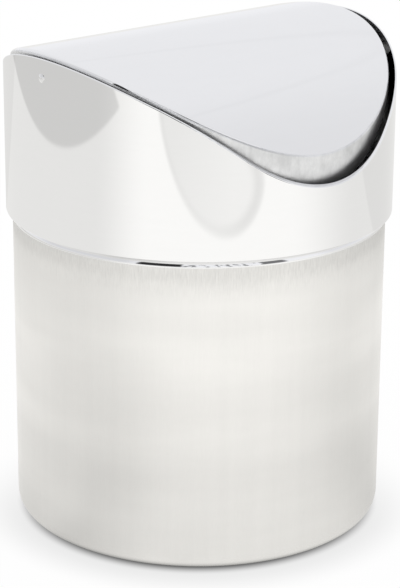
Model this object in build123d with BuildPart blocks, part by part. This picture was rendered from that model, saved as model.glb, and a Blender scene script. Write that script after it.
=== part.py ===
from build123d import *
import os
from math import cos, radians, sin, sqrt

# Tabletop swing bin: a brushed steel tub, a polished lift-off lid ring with a saddle-shaped rim,
# and a barrel-shaped flap that swings on two pins in the lid.
# Millimetres, +Z up, origin on the table under the middle of the tub, hinge line along X.

# Driving dimensions of the tub
tub_radius = 58.0
tub_sheet = 0.5
tub_height = 99.5
foot_lift = 0.5
foot_width = 7.0
foot_corner = 5.0
base_recess = 1.8
base_step_bend = 0.8
shoulder_bend = 2.6
neck_inset = 3.6
neck_height = 6.0
neck_bend = 0.9
lip_width = 2.2
lip_bend = 1.0

# Driving dimensions of the pad under the tub
pad_side_clearance = 0.3

# Driving dimensions of the lid ring
lid_overhang = 2.0
lid_sheet = 0.6
lid_height = 54.3
lid_edge_drop = 0.1
hem_width = 2.4
hem_rounding = 0.25
rim_crown_radius = 75.5
rim_crown_half_width = 37.0
rim_shoulder_radius = 47.5
rim_flank_angle = 57.2

# Driving dimensions of the ring that locates the lid on the tub's neck
ring_wall = 1.2
ring_neck_clearance = 0.3
ring_lip_cover = 0.4
ring_skirt_gap = 0.8

# Driving dimensions of the flap
flap_gap = 1.7
flap_sheet = 0.6
flap_section_radius = 78.3
flap_rise = 0.9
flap_bend = 1.4
flange_cover = 1.5
flange_drop = 4.5
flap_rest_tilt = 1.9

# Driving dimensions of the hinge
hinge_below_rim = 5.6
pin_radius = 1.0
pin_running_clearance = 0.06
pin_head_radius = 1.3
pin_head_edge = 0.12
pin_head_height = 0.5
pin_tail = 0.4
bush_radius = 2.2
retainer_radius = 2.6
retainer_thickness = 1.0
side_play = 0.07

# Heights and radii that follow from the driving dimensions
base_underside = foot_lift + base_recess
foot_inner_radius = tub_radius - foot_width
neck_radius = tub_radius - neck_inset
lip_top = tub_height + neck_height
lip_inner_radius = neck_radius - lip_width
lid_radius = tub_radius + lid_overhang
lid_bottom = tub_height - lid_edge_drop
rim_high = lid_bottom + lid_height
lid_inner_radius = lid_radius - lid_sheet
hinge_height = rim_high - hinge_below_rim
flap_radius = lid_inner_radius - flap_gap
flap_inner_radius = flap_radius - flap_sheet
flap_crown = flap_rise + hinge_below_rim

# The hinge line, with a section plane across it and a plan plane tipped with the flap
hinge_line = Axis((0, 0, hinge_height), (1, 0, 0))
pin_plane = Plane(origin=(0, 0, hinge_height), x_dir=(1, 0, 0), z_dir=(0, -1, 0))
tilt = radians(flap_rest_tilt)
flap_plan = Plane(origin=(0, 0, hinge_height), x_dir=(1, 0, 0), z_dir=(0, -sin(tilt), cos(tilt)))
flap_section = Plane(origin=flap_plan.origin, x_dir=flap_plan.y_dir, z_dir=flap_plan.x_dir)


def pressed_sheet(points, bends, thickness):
    """A turned sheet-metal shell: the outer line is offset inwards and spun about Z."""
    with BuildPart() as shell:
        with BuildSketch(Plane.XZ):
            with BuildLine():
                FilletPolyline(points, radius=bends)
                offset(amount=thickness, side=Side.LEFT)
            make_face()
        revolve(axis=Axis.Z)
    return shell


def barrel(plan_radius, section_radius, crown, bend):
    """A barrel-roofed plug in the flap's own planes, with the edge of its roof rounded."""
    with BuildPart() as plug:
        with BuildSketch(flap_plan):
            Circle(plan_radius)
        extrude(amount=plan_radius, both=True)
        with BuildSketch(flap_section):
            with Locations((0, crown - section_radius)):
                Circle(section_radius)
        extrude(amount=plan_radius, both=True, mode=Mode.INTERSECT)
        roof = plug.faces().sort_by(Axis(flap_plan.origin, flap_plan.z_dir))[-1]
        fillet(roof.edges(), radius=bend)
    return plug


def hinge_pin():
    """A headed pin from outside the lid wall, through the bush and the flap's flange."""
    tail = flap_inner_radius - side_play - retainer_thickness - pin_tail
    head_rim = lid_radius + pin_head_edge
    head_top = lid_radius + pin_head_height
    with BuildPart() as pin:
        with BuildSketch(pin_plane):
            with BuildLine():
                Polyline(
                    (head_top, 0),
                    (tail, 0),
                    (tail, pin_radius),
                    (lid_radius, pin_radius),
                    (lid_radius, pin_head_radius),
                    (head_rim, pin_head_radius),
                )
                TangentArc((head_top, 0), (head_rim, pin_head_radius), tangent=(0, 1))
            make_face()
        revolve(axis=hinge_line)
    return pin


def pin_sleeve(inner_end, outer_end, radius):
    """A plain sleeve on the pin, between two distances from the middle of the lid."""
    with BuildPart() as sleeve:
        with BuildSketch(Plane.YZ.offset(inner_end)):
            with Locations((0, hinge_height)):
                Circle(radius)
                Circle(pin_radius, mode=Mode.SUBTRACT)
        extrude(amount=outer_end - inner_end)
    return sleeve


def mirrored(piece):
    """The same piece on the other side of the lid."""
    with BuildPart() as other:
        mirror(piece.part, about=Plane.YZ)
    return other


# Tub: one sheet from the middle of the base to the turned-in lip
tub_line = [
    (0, base_underside),
    (foot_inner_radius, base_underside),
    (foot_inner_radius, foot_lift),
    (tub_radius, foot_lift),
    (tub_radius, tub_height),
    (neck_radius, tub_height),
    (neck_radius, lip_top),
    (lip_inner_radius, lip_top),
]
tub_bends = [base_step_bend, base_step_bend, foot_corner, shoulder_bend, neck_bend, lip_bend]
bin_body = pressed_sheet(tub_line, tub_bends, tub_sheet)

# Pad: a non-slip disc bonded into the recess of the base
with BuildPart() as base_pad:
    with BuildSketch(Plane.XY):
        Circle(foot_inner_radius - base_step_bend - pad_side_clearance)
    extrude(amount=base_underside)

# Saddle: the outline of the lid seen along the hinge line, down from the rim
with BuildSketch() as saddle:
    with BuildLine():
        crown_sag = rim_crown_radius - sqrt(rim_crown_radius**2 - rim_crown_half_width**2)
        crown = ThreePointArc(
            (-rim_crown_half_width, rim_high - crown_sag),
            (0, rim_high),
            (rim_crown_half_width, rim_high - crown_sag),
        )
        crown_end_angle = Vector(1, 0).get_angle(crown % 1)
        shoulder = JernArc(crown @ 1, crown % 1, rim_shoulder_radius, crown_end_angle - rim_flank_angle)
        flank = PolarLine(shoulder @ 1, 2 * tub_height, direction=shoulder % 1)
        mirror(shoulder, about=Plane.YZ)
        mirror(flank, about=Plane.YZ)
        Line(flank @ 1, (-(flank @ 1).X, (flank @ 1).Y))
    make_face()

# Lid ring: a polished tube with its lower edge turned in, its top trimmed to the saddle
with BuildPart() as lid_collar:
    with BuildSketch(Plane.XZ):
        with Locations((lid_inner_radius, lid_bottom)):
            Rectangle(lid_sheet, lid_height, align=(Align.MIN, Align.MIN))
        with Locations((lid_radius, lid_bottom)):
            Rectangle(hem_width, lid_sheet, align=(Align.MAX, Align.MIN))
    revolve(axis=Axis.Z)
    hem_edges = lid_collar.edges().group_by(Axis.Z)[0]
    fillet(hem_edges, radius=hem_rounding)
    with BuildSketch(Plane.YZ):
        add(saddle.sketch)
    extrude(amount=2 * lid_radius, both=True, mode=Mode.INTERSECT)
    with BuildSketch(Plane.YZ):
        with Locations((0, hinge_height)):
            Circle(pin_radius)
    extrude(amount=2 * lid_radius, both=True, mode=Mode.SUBTRACT)

# Locating ring: a channel whose inner wall slides over the neck and whose web sits on the lip
web_top = lip_top + ring_wall
inner_wall_foot = tub_height + ring_skirt_gap
outer_wall_foot = lid_bottom + lid_sheet
ring_inner_radius = neck_radius + ring_neck_clearance
with BuildPart() as lid_locating_ring:
    with BuildSketch(Plane.XZ):
        with BuildLine():
            Polyline(
                (lip_inner_radius + ring_lip_cover, web_top),
                (lid_inner_radius, web_top),
                (lid_inner_radius, outer_wall_foot),
                (lid_inner_radius - ring_wall, outer_wall_foot),
                (lid_inner_radius - ring_wall, lip_top),
                (ring_inner_radius + ring_wall, lip_top),
                (ring_inner_radius + ring_wall, inner_wall_foot),
                (ring_inner_radius, inner_wall_foot),
                (ring_inner_radius, lip_top),
                (lip_inner_radius + ring_lip_cover, lip_top),
                close=True,
            )
        make_face()
    revolve(axis=Axis.Z)

# Room under the flange, whose edge follows the rim a little below it and passes under the pins
with BuildSketch() as flange_trim:
    with Locations((0, -hinge_height)):
        add(saddle.sketch)
    offset(amount=-flange_cover, mode=Mode.REPLACE)
    with Locations((0, -flange_drop)):
        Rectangle(3 * flap_radius, 3 * flap_radius, align=(Align.CENTER, Align.MAX), mode=Mode.INTERSECT)

# Flap: a barrel roof with a flange turned down all round
outer_plug = barrel(flap_radius, flap_section_radius, flap_crown, flap_bend)
inner_plug = barrel(
    flap_inner_radius,
    flap_section_radius - flap_sheet,
    flap_crown - flap_sheet,
    flap_bend - flap_sheet,
)
with BuildPart() as swing_flap:
    add(outer_plug.part)
    add(inner_plug.part, mode=Mode.SUBTRACT)
    with BuildSketch(flap_section):
        add(flange_trim.sketch)
        Circle(pin_radius + pin_running_clearance)
    extrude(amount=2 * flap_radius, both=True, mode=Mode.SUBTRACT)

# Hinge pieces on the right, each mirrored to the left
hinge_pin_right = hinge_pin()
bush_outer_end = sqrt(lid_inner_radius**2 - bush_radius**2)
hinge_bush_right = pin_sleeve(flap_radius + side_play, bush_outer_end, bush_radius)
retainer_outer_end = sqrt(flap_inner_radius**2 - retainer_radius**2) - side_play
retainer_inner_end = retainer_outer_end - retainer_thickness
pin_retainer_right = pin_sleeve(retainer_inner_end, retainer_outer_end, retainer_radius)

pieces = {
    "bin_body": bin_body,
    "base_pad": base_pad,
    "lid_collar": lid_collar,
    "lid_locating_ring": lid_locating_ring,
    "swing_flap": swing_flap,
    "hinge_pin_right": hinge_pin_right,
    "hinge_pin_left": mirrored(hinge_pin_right),
    "hinge_bush_right": hinge_bush_right,
    "hinge_bush_left": mirrored(hinge_bush_right),
    "pin_retainer_right": pin_retainer_right,
    "pin_retainer_left": mirrored(pin_retainer_right),
}
os.makedirs("parts", exist_ok=True)
for name, piece in pieces.items():
    piece.part.label = name
    export_step(piece.part, f"parts/{name}.step")
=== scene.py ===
from math import atan, atan2, cos, pi, radians, sin, sqrt

import bpy
from mathutils import Matrix, Vector


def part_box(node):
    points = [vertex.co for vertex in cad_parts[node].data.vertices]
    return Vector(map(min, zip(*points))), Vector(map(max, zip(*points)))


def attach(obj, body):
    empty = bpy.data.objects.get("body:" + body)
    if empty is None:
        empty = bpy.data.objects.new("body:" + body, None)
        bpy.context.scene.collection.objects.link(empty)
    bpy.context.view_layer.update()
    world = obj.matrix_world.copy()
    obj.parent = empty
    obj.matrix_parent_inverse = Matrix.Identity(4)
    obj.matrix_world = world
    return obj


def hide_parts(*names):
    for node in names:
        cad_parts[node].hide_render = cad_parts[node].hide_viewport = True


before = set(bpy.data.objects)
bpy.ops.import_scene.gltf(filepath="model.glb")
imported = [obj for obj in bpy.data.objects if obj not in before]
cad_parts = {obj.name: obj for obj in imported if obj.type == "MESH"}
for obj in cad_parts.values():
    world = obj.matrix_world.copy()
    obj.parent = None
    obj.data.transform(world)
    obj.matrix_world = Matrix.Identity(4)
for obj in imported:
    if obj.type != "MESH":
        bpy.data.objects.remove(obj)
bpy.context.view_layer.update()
MM = 0.001

# Sizes, in metres, from the frame where it holds them
tub_low, tub_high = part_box("bin_body")
lid_low, lid_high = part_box("lid_collar")
tub_radius = tub_high[0]
lip_top = tub_high[2]
foot_height = tub_low[2]
base_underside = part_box("base_pad")[1][2]
lid_radius = lid_high[0]
lid_bottom = lid_low[2]
rim_high = lid_high[2]

# The rest of the tub
tub_sheet = 0.5 * MM
tub_height = lid_bottom + 0.1 * MM
foot_inner_radius = tub_radius - 7.0 * MM
foot_corner = 5.0 * MM
base_step_bend = 0.8 * MM
shoulder_bend = 2.6 * MM
neck_radius = tub_radius - 3.6 * MM
neck_bend = 0.9 * MM
lip_inner_radius = neck_radius - 2.2 * MM
lip_bend = 1.0 * MM
polish_inner_radius = tub_radius - 5.0 * MM

# The rest of the lid
lid_sheet = 0.6 * MM
lid_inner_radius = lid_radius - lid_sheet
hem_radius = lid_radius - 2.4 * MM
hem_top = lid_bottom + lid_sheet
hem_rounding = 0.25 * MM
rim_rounding = 0.22 * MM
crown_radius = 75.5 * MM
crown_half_width = 37.0 * MM
shoulder_radius = 47.5 * MM
flank_angle = radians(57.2)
hinge = Vector((0.0, 0.0, rim_high - 5.6 * MM))

# The rest of the flap
flap_radius = lid_inner_radius - 1.7 * MM
flap_sheet = 0.6 * MM
flap_section = 78.3 * MM
flap_crown = 6.5 * MM
flap_bend = 1.4 * MM
flange_cover = 1.5 * MM
flange_drop = 4.5 * MM
flap_tilt = radians(1.9)

# How finely the round shapes are divided
AROUND = 384
BEND_STEP = radians(7.5)
EDGE_STEPS = 4
ROOF_RINGS = 40
FLAP_BEND_STEPS = 8
SAME_PLACE = 1e-9

UP = Vector((0.0, 0.0, 1.0))


# Meshes
def spoke_at(angle):
    """The level direction away from the middle at an angle round it."""
    return Vector((cos(angle), sin(angle), 0.0))


def new_piece(name, points, faces, normals, face_slots):
    """A mesh piece with its own exact normals, one for each corner of each face."""
    mesh = bpy.data.meshes.new(name)
    mesh.from_pydata([tuple(point) for point in points], [], faces)
    mesh.shade_smooth()
    mesh.polygons.foreach_set("material_index", face_slots)
    mesh.normals_split_custom_set([tuple(normal) for corners in normals for normal in corners])
    mesh.update()
    piece = bpy.data.objects.new(name, mesh)
    bpy.context.collection.objects.link(piece)
    return piece


def skin(name, columns, slot_of=lambda a, b: 0):
    """A closed band of columns of (point, normal) pairs.

    A point given twice in a row, or first and last, makes a sharp edge. A row that all columns share
    makes one point.
    """
    points, faces, normals, slots, index = [], [], [], [], []
    for column in columns:
        ids = []
        for row, (point, _) in enumerate(column):
            if row and (point - column[row - 1][0]).length < SAME_PLACE:
                ids.append(ids[-1])
            elif index and (point - columns[0][row][0]).length < SAME_PLACE:
                ids.append(index[0][row])
            elif row == len(column) - 1 and (point - column[0][0]).length < SAME_PLACE:
                ids.append(ids[0])
            else:
                points.append(point)
                ids.append(len(points) - 1)
        index.append(ids)
    for here in range(len(columns)):
        there = (here + 1) % len(columns)
        for row in range(len(columns[here]) - 1):
            corners = {}
            for side, level in ((here, row), (there, row), (there, row + 1), (here, row + 1)):
                corners.setdefault(index[side][level], columns[side][level][1])
            if len(corners) < 3:
                continue
            faces.append(list(corners))
            normals.append(list(corners.values()))
            slots.append(slot_of(columns[here][row], columns[here][row + 1]))
    return new_piece(name, points, faces, normals, slots)


def bent_line(corners, bends):
    """Points and outward normals, as (r, z) pairs, along straight runs joined by rounded corners."""
    corners = [Vector(corner) for corner in corners]
    line = []
    for i, here in enumerate(corners):
        if i == 0 or i == len(corners) - 1:
            run = corners[1] - here if i == 0 else here - corners[-2]
            run.normalize()
            line.append((here, Vector((run.y, -run.x))))
            continue
        before = (corners[i - 1] - here).normalized()
        after = (corners[i + 1] - here).normalized()
        turn = before.angle(after)
        side = 1.0 if before.x * after.y - before.y * after.x > 0 else -1.0
        bend = bends[i - 1]
        centre = here + (before + after).normalized() * (bend / sin(turn / 2))
        spoke = here + before * (bend * cos(turn / 2) / sin(turn / 2)) - centre
        sweep = pi - turn
        steps = max(3, int(sweep / BEND_STEP))
        for k in range(steps + 1):
            arm = Matrix.Rotation(-side * sweep * k / steps, 2) @ spoke
            line.append((centre + arm, arm.normalized() * -side))
    return line


def sheet_line(corners, bends, thickness):
    """Both faces of a bent sheet and its cut end, as one line of (r, z) pairs from middle to middle."""
    outer = bent_line(corners, bends)
    inner = [(point - normal * thickness, -normal) for point, normal in reversed(outer)]
    inner[-1] = (Vector((0.0, inner[-1][0].y)), inner[-1][1])
    end, start = outer[-1][0], inner[0][0]
    cut = (start - end).normalized()
    across = Vector((cut.y, -cut.x))
    return outer + [(end, across), (start, across)] + inner


def spun(line):
    """A line of (r, z) pairs carried round the axis, as columns for skin."""
    columns = []
    for k in range(AROUND):
        out = spoke_at(2 * pi * k / AROUND)
        columns.append([(out * p.x + UP * p.y, out * n.x + UP * n.y) for p, n in line])
    return columns


def rim_height(y, inset=0.0):
    """Height of the saddle rim, or of a line inset from it, at a distance y from the hinge line."""
    y = abs(y)
    crown, shoulder = crown_radius - inset, shoulder_radius - inset
    crown_end = sqrt(crown_radius**2 - crown_half_width**2)
    first = atan2(crown_half_width, crown_end)
    if y <= crown * sin(first):
        return rim_high - crown_radius + sqrt(crown**2 - y**2)
    centre_y = crown_half_width - shoulder_radius * sin(first)
    centre_z = rim_high - crown_radius + crown_end - shoulder_radius * cos(first)
    last_y = centre_y + shoulder * sin(flank_angle)
    if y <= last_y:
        return centre_z + sqrt(shoulder**2 - (y - centre_y) ** 2)
    return centre_z + shoulder * cos(flank_angle) - (y - last_y) * sin(flank_angle) / cos(flank_angle)


# Tub
tub_line = sheet_line(
    [
        (0.0, base_underside),
        (foot_inner_radius, base_underside),
        (foot_inner_radius, foot_height),
        (tub_radius, foot_height),
        (tub_radius, tub_height),
        (neck_radius, tub_height),
        (neck_radius, lip_top),
        (lip_inner_radius, lip_top),
    ],
    [base_step_bend, base_step_bend, foot_corner, shoulder_bend, neck_bend, lip_bend],
    tub_sheet,
)


def tub_slot(a, b):
    """0 on the brushed wall, 1 on the polished shoulder and neck."""
    low = tub_height - shoulder_bend - 0.01 * MM
    faces_out = all(normal.xy.dot(point.xy) > -0.01 * point.xy.length for point, normal in (a, b))
    return int(faces_out and a[0].xy.length > polish_inner_radius and min(a[0].z, b[0].z) > low)


tub = skin("tub_shell", spun(tub_line), tub_slot)


# Lid collar
def collar_column(angle):
    """The collar's section at one place round the lid, from the hem up over the rim and down inside."""
    out = spoke_at(angle)
    column = []

    def add(radius, height, tip):
        column.append((out * radius + UP * height, out * cos(tip) + UP * sin(tip)))

    def add_quarter(middle, rounding, first_tip, on_rim):
        """A quarter round about a middle radius, on the rim or at the lid's lower edge."""
        for k in range(EDGE_STEPS + 1):
            tip = first_tip + pi / 2 * k / EDGE_STEPS
            radius = middle + rounding * cos(tip)
            height = rim_height(radius * sin(angle)) - rounding if on_rim else lid_bottom + rounding
            add(radius, height + rounding * sin(tip), tip)

    add(hem_radius, hem_top, pi)
    add_quarter(hem_radius + hem_rounding, hem_rounding, pi, False)
    add_quarter(lid_radius - hem_rounding, hem_rounding, 1.5 * pi, False)
    add_quarter(lid_radius - rim_rounding, rim_rounding, 0.0, True)
    add_quarter(lid_inner_radius + rim_rounding, rim_rounding, 0.5 * pi, True)
    add(lid_inner_radius, hem_top, pi)
    add(lid_inner_radius, hem_top, pi / 2)
    add(hem_radius, hem_top, pi / 2)
    return column


collar = skin("collar_shell", [collar_column(2 * pi * k / AROUND) for k in range(AROUND)])


# Flap
def flap_side(angle, radius, section, crown, bend, facing):
    """One face of the flap from its middle out to the foot of its flange, in the flap's own axes."""
    out = spoke_at(angle)
    side = []

    def roof(y):
        """Height of the barrel roof above the hinge line, and the way it faces."""
        rise = sqrt(section**2 - y**2)
        return crown - section + rise, Vector((0.0, y / rise, 1.0)).normalized()

    bend_radius = radius - bend
    height, facing_up = roof(bend_radius * sin(angle))
    fall = atan(facing_up.y / facing_up.z * sin(angle))
    bend_height = height - bend / cos(fall)
    roof_end = bend_radius + bend * sin(fall)
    for k in range(ROOF_RINGS):
        reach = roof_end * k / ROOF_RINGS
        height, facing_up = roof(reach * sin(angle))
        side.append((out * reach + UP * height, facing_up))
    facing_up = roof(roof_end * sin(angle))[1]
    for k in range(FLAP_BEND_STEPS + 1):
        tip = (pi / 2 - fall) * (1 - k / FLAP_BEND_STEPS)
        place = out * (bend_radius + bend * cos(tip)) + UP * (bend_height + bend * sin(tip))
        side.append((place, facing_up.slerp(out, k / FLAP_BEND_STEPS)))
    foot = min(rim_height(radius * sin(angle), flange_cover) - hinge.z, -flange_drop)
    side.append((out * radius + UP * foot, out))
    return [(point, normal * facing) for point, normal in side]


flap_turn = Matrix.Rotation(flap_tilt, 3, "X")


def flap_column(angle):
    """Both faces of the flap at one place round it, joined at the foot of the flange."""
    outer = flap_side(angle, flap_radius, flap_section, flap_crown, flap_bend, 1.0)
    thinner = [size - flap_sheet for size in (flap_radius, flap_section, flap_crown, flap_bend)]
    inner = flap_side(angle, *thinner, -1.0)
    column = inner + [(inner[-1][0], -UP), (outer[-1][0], -UP)] + outer[::-1]
    return [(hinge + flap_turn @ point, flap_turn @ normal) for point, normal in column]


def flap_slot(a, b):
    """0 on the polished roof, 1 on the outside of the flange."""
    upright = flap_turn @ UP
    facing = (a[1] + b[1]).normalized()
    arm = a[0] - hinge
    outward = facing.dot(arm - upright * upright.dot(arm))
    return int(outward > 0.02 and abs(facing.dot(upright)) < 0.55)


flap = skin("flap_shell", [flap_column(2 * pi * k / AROUND) for k in range(AROUND)], flap_slot)


# Node trees
class Value:
    """The output of a shader node, which takes part in sums with numbers and other outputs."""

    def __init__(self, nodes, socket):
        self.nodes = nodes
        self.socket = socket

    def __add__(self, other):
        return self.nodes.maths("ADD", self, other)

    def __sub__(self, other):
        return self.nodes.maths("SUBTRACT", self, other)

    def __rsub__(self, other):
        return self.nodes.maths("SUBTRACT", other, self)

    def __mul__(self, other):
        return self.nodes.maths("MULTIPLY", self, other)


class Nodes:
    """The node tree of a material or a world, with short calls to add and join its nodes."""

    def __init__(self, owner, output):
        owner.use_nodes = True
        self.owner = owner
        self.tree = owner.node_tree
        self.tree.nodes.clear()
        self.output = self.tree.nodes.new("ShaderNode" + output)

    def feed(self, value, socket):
        """Joins another node's output to a socket, or sets the socket to a plain value."""
        if isinstance(value, Value):
            self.tree.links.new(value.socket, socket)
        else:
            socket.default_value = value

    def add(self, kind, inputs=(), **settings):
        """A new node with its settings made and its inputs fed, by name or number."""
        node = self.tree.nodes.new("ShaderNode" + kind)
        for name, value in settings.items():
            setattr(node, name, value)
        for name, value in dict(inputs).items():
            self.feed(value, node.inputs[name])
        return node

    def make(self, kind, output, inputs=(), **settings):
        """One output of a new node."""
        return Value(self, self.add(kind, inputs, **settings).outputs[output])

    def maths(self, operation, *values):
        return self.make("Math", "Value", enumerate(values), operation=operation)

    def split(self, vector):
        """The three parts of a vector."""
        return [Value(self, part) for part in self.add("SeparateXYZ", {"Vector": vector}).outputs]

    def noise(self, scale, detail=2.0, roughness=0.5):
        """Noise in the piece's own coordinates, stretched."""
        place = self.make("TexCoord", "Object")
        place = self.make("Mapping", "Vector", {"Vector": place, "Scale": scale})
        inputs = {"Vector": place, "Scale": 1.0, "Detail": detail, "Roughness": roughness}
        return self.make("TexNoise", "Fac", inputs)

    def ramp(self, factor, low, low_colour, high, high_colour):
        """Goes from one colour to another between two values of a factor."""
        node = self.add("ValToRGB", {"Fac": factor})
        elements = node.color_ramp.elements
        elements[0].position, elements[0].color = low, low_colour + (1.0,)
        elements[1].position, elements[1].color = high, high_colour + (1.0,)
        return Value(self, node.outputs["Color"])

    def fit(self, value, low, high, to_low, to_high, **settings):
        """Goes evenly from one number to another between two values."""
        inputs = {"Value": value, "From Min": low, "From Max": high, "To Min": to_low, "To Max": to_high}
        return self.make("MapRange", "Result", inputs, **settings)

    def soft_step(self, value, low, high, to_low=0.0, to_high=1.0):
        """Goes smoothly from one number to another between two values."""
        return self.fit(value, low, high, to_low, to_high, interpolation_type="SMOOTHSTEP")

    def plateau(self, value, start, full, fade, end):
        """1 between full and fade, falling smoothly to 0 at start and end."""
        return self.soft_step(value, start, full) * self.soft_step(value, end, fade)

    def window(self, value, low, high, soft):
        """1 between two values and 0 outside, with edges of equal softness."""
        return self.plateau(value, low - soft, low + soft, high - soft, high + soft)

    def bump(self, height, strength, distance):
        return self.make("Bump", "Normal", {"Height": height, "Strength": strength, "Distance": distance})

    def finish(self, shader):
        """Makes the shader the surface of the material or world."""
        self.feed(shader, self.output.inputs["Surface"])
        return self.owner


def material_nodes(name):
    return Nodes(bpy.data.materials.new(name), "OutputMaterial")


# Materials
def grey(value, warm=0.0):
    """A linear grey, a little warm or cool."""
    return (value * (1 + warm), value, value * (1 - warm))


def polished(name, level, low_rough, high_rough):
    """Mirror-polished stainless steel with faint wiping marks and a very slight waviness."""
    n = material_nodes(name)
    wipes = n.noise((90.0, 90.0, 700.0), detail=4.0, roughness=0.6)
    waves = n.noise((22.0, 22.0, 22.0), detail=0.0)
    look = {
        "Metallic": 1.0,
        "Base Color": n.ramp(wipes, 0.3, grey(level * 0.992), 0.7, grey(level)),
        "Roughness": n.fit(wipes, 0.3, 0.7, low_rough, high_rough),
        "Normal": n.bump(waves, 0.02, 0.6 * MM),
    }
    return n.finish(n.make("BsdfPrincipled", "BSDF", look))


def drawn(name, level):
    """Steel of the flap's flange, left duller and mottled where the press drew it."""
    n = material_nodes(name)
    streaks = n.noise((420.0, 420.0, 240.0), detail=4.0, roughness=0.7)
    patches = n.noise((80.0, 80.0, 180.0), detail=2.0)
    mixed = streaks * 0.5 + patches * 0.5
    look = {
        "Metallic": 1.0,
        "Base Color": n.ramp(mixed, 0.38, grey(level * 0.80, -0.006), 0.62, grey(level, -0.006)),
        "Roughness": n.fit(mixed, 0.3, 0.7, 0.42, 0.28),
        "Normal": n.bump(streaks, 0.12, 0.2 * MM),
    }
    return n.finish(n.make("BsdfPrincipled", "BSDF", look))


def brushed(name, level):
    """Steel brushed up and down: faint hairlines, stronger under the lid, soft bands of painted
    reflection, and painted shade just under the lid.
    """
    n = material_nodes(name)
    hair = n.noise((2500.0, 2500.0, 330.0), detail=3.0, roughness=0.6)
    coarse = n.noise((260.0, 260.0, 7.0), detail=3.0, roughness=0.6)
    cloud = n.noise((16.0, 16.0, 80.0), detail=3.0)
    height = n.split(n.make("TexCoord", "Object"))[2]

    def below_lid(low, high):
        """Two heights, given as millimetres below the top of the tub."""
        return tub_height - low * MM, tub_height - high * MM

    near_lid = n.fit(height, *below_lid(13.0, 6.0), 0.25, 1.7)
    lines = (hair - 0.5) * near_lid + (coarse - 0.5) * 0.30
    # Painted reflection: soft light and dark bands at set heights round the tub, standing in for the
    # floor seen in the brushed steel
    reflection_band_height, reflection_band_spacing = 29 * MM, 26 * MM
    reflection_bands = n.maths("COSINE", (height - reflection_band_height) * (2 * pi / reflection_band_spacing))
    # Painted shade: the tub darkens over the last 15 mm below the lid, and more over the last 9 mm
    lid_shade = n.soft_step(height, *below_lid(15.0, 6.0), 0.0, -0.075)
    lid_edge_shade = n.soft_step(height, *below_lid(9.0, 4.5), 0.0, -0.07)
    tone = lines * 0.16 + n.fit(cloud, 0.1, 0.9, -0.040, 0.040)
    tone = tone + reflection_bands * cloud * -0.026 + lid_shade + lid_edge_shade + level
    colour = {"Red": tone, "Green": tone * 0.990, "Blue": tone * 0.964}
    look = {
        "Metallic": 1.0,
        "Anisotropic": 0.7,
        "Base Color": n.make("CombineColor", "Color", colour),
        "Roughness": n.fit(cloud, 0.1, 0.9, 0.36, 0.30),
        "Normal": n.bump(hair, 0.05, 0.02 * MM),
    }
    return n.finish(n.make("BsdfPrincipled", "BSDF", look))


def turned(name):
    """Turned and polished steel for the pins."""
    n = material_nodes(name)
    grain = n.noise((3000.0, 3000.0, 3000.0))
    look = {
        "Metallic": 1.0,
        "Base Color": n.ramp(grain, 0.3, grey(0.84), 0.7, grey(0.90)),
        "Roughness": n.fit(grain, 0.3, 0.7, 0.08, 0.14),
    }
    return n.finish(n.make("BsdfPrincipled", "BSDF", look))


def moulded(name, dark, light, rough, grain_scale, depth):
    """Moulded plastic or rubber with a fine skin."""
    n = material_nodes(name)
    grain = n.noise((grain_scale, grain_scale, grain_scale), detail=3.0)
    look = {
        "Metallic": 0.0,
        "Base Color": n.ramp(grain, 0.3, grey(dark), 0.7, grey(light)),
        "Roughness": n.fit(grain, 0.3, 0.7, rough - 0.05, rough + 0.05),
        "Normal": n.bump(grain, 0.3, depth),
    }
    return n.finish(n.make("BsdfPrincipled", "BSDF", look))


lid_steel = polished("lid_steel", 0.93, 0.02, 0.035)
flap_steel = polished("flap_steel", 0.93, 0.03, 0.05)
flange_steel = drawn("flange_steel", 0.88)
shoulder_steel = polished("shoulder_steel", 0.92, 0.04, 0.07)
tub_steel = brushed("tub_steel", 0.945)
pin_steel = turned("bright_pin_steel")
nylon = moulded("black_nylon", 0.010, 0.016, 0.42, 2500.0, 0.02 * MM)
ring_plastic = moulded("black_ring_plastic", 0.012, 0.020, 0.48, 1800.0, 0.03 * MM)
rubber = moulded("black_rubber", 0.018, 0.030, 0.75, 1500.0, 0.05 * MM)

for piece, body, node, slot, materials in (
    (tub, "tub", "bin_body", "brushed_tub", (tub_steel, shoulder_steel)),
    (collar, "lid", "lid_collar", "polished_lid", (lid_steel,)),
    (flap, "flap", "swing_flap", "polished_flap", (flap_steel, flange_steel)),
):
    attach(piece, body)
    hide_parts(node)
    for material in materials:
        piece.data.materials.append(material)

for node, material in (
    ("hinge_pin_left", pin_steel),
    ("hinge_pin_right", pin_steel),
    ("hinge_bush_left", nylon),
    ("hinge_bush_right", nylon),
    ("pin_retainer_left", nylon),
    ("pin_retainer_right", nylon),
    ("lid_locating_ring", ring_plastic),
    ("base_pad", rubber),
):
    for material_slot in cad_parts[node].material_slots:
        material_slot.material = material


# Camera, at the photograph's viewing angle
scene = bpy.context.scene
heading = radians(40.433)
pitch = radians(18.970)
roll = radians(0.401)
camera = bpy.data.objects.new("camera", bpy.data.cameras.new("camera"))
scene.collection.objects.link(camera)
camera.data.lens = 135.985
camera.data.sensor_width = 36.0
camera.matrix_world = (
    Matrix.Translation((-0.43064, -0.50611, 0.29773))
    @ Matrix.Rotation(-heading, 4, "Z")
    @ Matrix.Rotation(pi / 2 - pitch, 4, "X")
    @ Matrix.Rotation(roll, 4, "Z")
)
scene.camera = camera


# Floor
HALF_FLOOR = 4.0
MATT = 0.06
floor_mesh = bpy.data.meshes.new("floor")
floor_corners = [(x * HALF_FLOOR, y * HALF_FLOOR, 0.0) for x, y in ((-1, -1), (1, -1), (1, 1), (-1, 1))]
floor_mesh.from_pydata(floor_corners, [], [(0, 1, 2, 3)])
floor = bpy.data.objects.new("floor", floor_mesh)
scene.collection.objects.link(floor)

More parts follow.
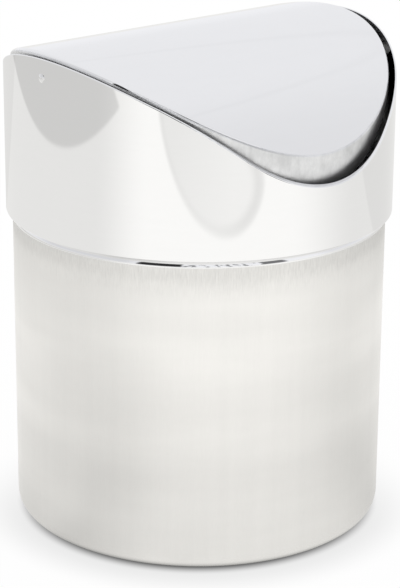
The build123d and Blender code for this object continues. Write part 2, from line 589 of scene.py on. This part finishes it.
n = material_nodes("pale_floor")
glossy = n.make("LightPath", "Is Glossy Ray")
shown = n.maths("MAXIMUM", n.make("LightPath", "Is Camera Ray"), glossy)
shown = n.maths("MAXIMUM", shown, n.make("LightPath", "Is Transmission Ray"))
ground = n.make("TexCoord", "Object")


def along(direction):
    """How far a floor point lies along a direction, in metres."""
    return n.make("VectorMath", "Value", {0: ground, 1: direction}, operation="DOT_PRODUCT")


def darken(tone, mask, depth):
    """The tone, darkened by depth where the mask is 1."""
    return tone * (1.0 - mask * depth)


# Places on the floor: towards the photograph's viewpoint and to its right, in metres, and as a
# distance and a bearing in degrees
front = along((-sin(heading), -cos(heading), 0.0))
right = along((cos(heading), -sin(heading), 0.0))
distance = n.maths("SQRT", front * front + right * right)
bearing = n.maths("ARCTAN2", right, front) * (180 / pi)

# What the metal sees of the floor: a white sheet, dimmer to the sides and round the bin
tone = n.soft_step(bearing, -60.0, -26.0, 0.84, 1.03)
tone = darken(tone, n.soft_step(bearing, 48.0, 98.0), 0.19)
tone = darken(tone, n.soft_step(bearing, 125.0, 165.0), -0.07)
tone = darken(tone, n.soft_step(distance, 0.27, 0.08), 0.155)

# The sheet ends in a bowed edge on the left and a straight one at the back
bow = front + 0.15
left_edge = bow * bow * 0.26 - right
tone = darken(tone, n.soft_step(left_edge, 0.522, 0.534) * n.soft_step(front, 0.458, 0.440), 0.22)
back_edge = right * 0.335 - front
tone = darken(tone, n.soft_step(back_edge, 0.255, 0.268), 0.07)

# Near the tub it varies from side to side, and far away it is one even tone
by_the_tub = n.soft_step(distance, 0.32, 0.20)
by_the_foot = n.soft_step(distance, 0.22, 0.13)
dim_left = n.plateau(bearing, -62.0, -42.0, -34.0, -10.0)
dim_right = n.plateau(bearing, 28.0, 55.0, 88.0, 112.0)
bright_left = n.soft_step(bearing, -42.0, -68.0)
bright_back = n.soft_step(n.maths("ABSOLUTE", bearing), 70.0, 120.0)
tone = darken(tone, by_the_tub * dim_left, 0.10)
tone = darken(tone, by_the_tub * dim_right, 0.05)
tone = darken(tone, by_the_foot * bright_left, -0.08)
tone = darken(tone, by_the_foot * dim_left, 0.05)
tone = darken(tone, by_the_tub * bright_back, -0.19)
far = n.soft_step(distance, 0.9, 1.4)
tone = tone * (1.0 - far) + far * 0.87

# A pale oval in front of the bin, as of something held near the camera, with a darker rim
oval_front, oval_right = 0.526, 0.010
oval_half_length, oval_half_width = 0.292, 0.101
oval_sine, oval_cosine = 0.42, 0.907
ahead = front - oval_front
aside = right - oval_right
long_way = ahead * (-oval_sine / oval_half_length) + aside * (oval_cosine / oval_half_length)
short_way = ahead * (oval_cosine / oval_half_width) + aside * (oval_sine / oval_half_width)
away = n.maths("SQRT", long_way * long_way + short_way * short_way)
tone = darken(tone, n.soft_step(away, 1.06, 0.90), n.fit(long_way, -0.5, 0.55, 0.15, 0.08))
oval_rim = n.plateau(away, 0.78, 0.95, 0.98, 1.08)
tone = darken(tone, oval_rim * n.soft_step(right, 0.02, 0.20, 0.35, 1.0), 0.13)

# Other rays see it white, with the bin's shadow under and close round the foot
under = n.soft_step(distance, 0.0515, 0.0588)
close_shadow = n.soft_step(distance, 0.075, 0.056, 0.0, 0.17) * n.soft_step(front, -0.03, 0.03, 0.3, 1.0)
shade = under * n.maths("MAXIMUM", 1.0 - close_shadow, glossy)
tone = tone * glossy + (1.0 - glossy)
warmth = {"Red": 1.0, "Green": 1.0 - glossy * 0.006, "Blue": 1.0 - glossy * 0.022}
glow = {
    "Color": n.make("CombineColor", "Color", warmth),
    "Strength": (tone * shade - shade * MATT) * shown,
}
layers = {
    0: n.make("BsdfDiffuse", "BSDF", {"Color": grey(MATT) + (1.0,)}),
    1: n.make("Emission", "Emission", glow),
}
floor_mesh.materials.append(n.finish(n.make("AddShader", "Shader", layers)))


# Studio: a plain white room, of which only metal sees the grey parts
world = bpy.data.worlds.new("studio")
scene.world = world
w = Nodes(world, "OutputWorld")
direction = {"Vector": w.make("TexCoord", "Generated"), "Angle": heading + pi / 2}
x, y, z = w.split(w.make("VectorRotate", "Vector", direction, rotation_type="Z_AXIS"))
turn = w.maths("ARCTAN2", y, x) * (180 / pi)
rise = w.maths("ARCSINE", z) * (180 / pi)

# Dim behind and to the left, brighter in front, with a seam overhead
level = w.soft_step(w.maths("ABSOLUTE", turn), 98.0, 156.0, 0.80, 0.876)
level = level + w.soft_step(rise, 3.0, 14.0, 0.035, 0.0)
level = level - w.window(rise + turn * 0.56, 126.3, 127.3, 0.5) * 0.02
level = level + w.window(turn, -40.0, 80.0, 8.0) * 0.14
level = level - w.window(turn, -105.0, -40.0, 8.0) * 0.08

# Two dark openings beside the photograph's viewpoint, and small dark things between them
above = w.window(rise, 0.0, 84.0, 2.0)
for opening_start, opening_end, depth in ((-37.0, -10.0, 0.97), (38.0, 53.5, 0.80)):
    level = darken(level, w.window(turn, opening_start, opening_end, 1.2) * above, depth)
scatter = w.make("CombineXYZ", "Vector", {"X": turn * 0.30, "Y": rise * 0.035})
clutter = w.make("TexNoise", "Fac", {"Vector": scatter, "Scale": 1.0, "Detail": 1.0})
things = w.soft_step(clutter, 0.50, 0.60) * w.window(turn, -10.0, 38.0, 1.5) * above
level = darken(level, things, 0.70)

backgrounds = {
    "Fac": w.make("LightPath", "Is Glossy Ray"),
    1: w.make("Background", "Background", {"Color": grey(1.0) + (1.0,), "Strength": 1.0}),
    2: w.make("Background", "Background", {"Color": (0.985, 0.99, 1.02, 1.0), "Strength": level}),
}
w.finish(w.make("MixShader", "Shader", backgrounds))

scene.view_settings.view_transform = "Standard"
